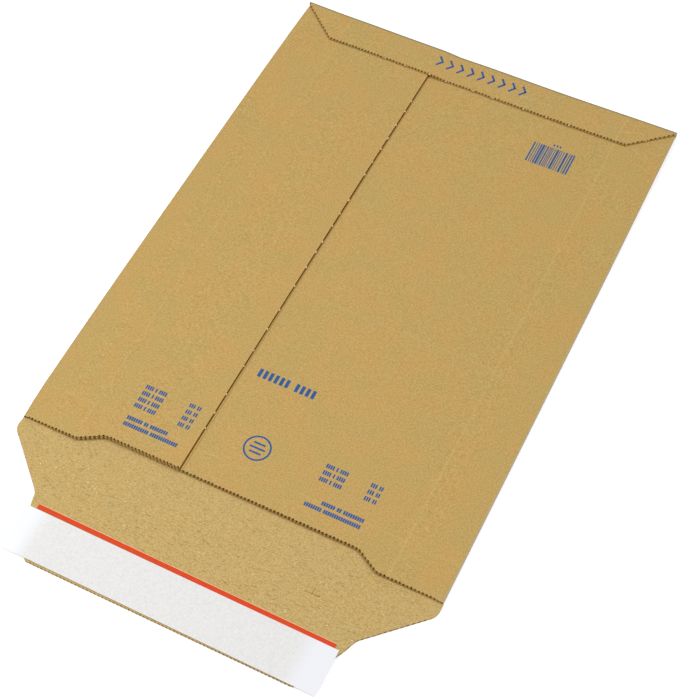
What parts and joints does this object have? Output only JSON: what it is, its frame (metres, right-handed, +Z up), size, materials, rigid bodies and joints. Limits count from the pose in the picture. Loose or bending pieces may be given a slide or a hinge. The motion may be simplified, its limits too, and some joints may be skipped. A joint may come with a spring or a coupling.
{
  "type": "cardboard mailer",
  "caption": "Flat corrugated cardboard mailer with a lapped back seam, a glued end flap and a hinged closing flap with a tear strip and a release liner.",
  "frame": {"origin": "on the surface it lies on, under the middle of the open pack", "axes": "+Y along the pack from the closing flap's tip to the closed end, +X across it to the right with the seam side up, +Z up"},
  "size_m": [0.234, 0.39, 0.0061],
  "materials": {
    "kraft_board": "matte",
    "tear_tape": "satin",
    "adhesive": "satin",
    "release_paper": "smooth",
    "dried_glue": "matte"
  },
  "bodies": {
    "pouch_body": {"pouch": "kraft_board", "seam_glue": "dried_glue", "end_glue_left": "dried_glue", "end_glue_right": "dried_glue"},
    "flap_body": {"closing_flap": "kraft_board", "tear_strip": "tear_tape", "adhesive_strip": "adhesive", "release_liner": "release_paper"}
  },
  "joints": [
    {"name": "flap_crease", "type": "hinge", "parent": "pouch_body", "child": "flap_body", "pos_m": [0, -0.135, 0.0033], "axis": [-1, 0, 0], "range_deg": [0, 180]}
  ]
}
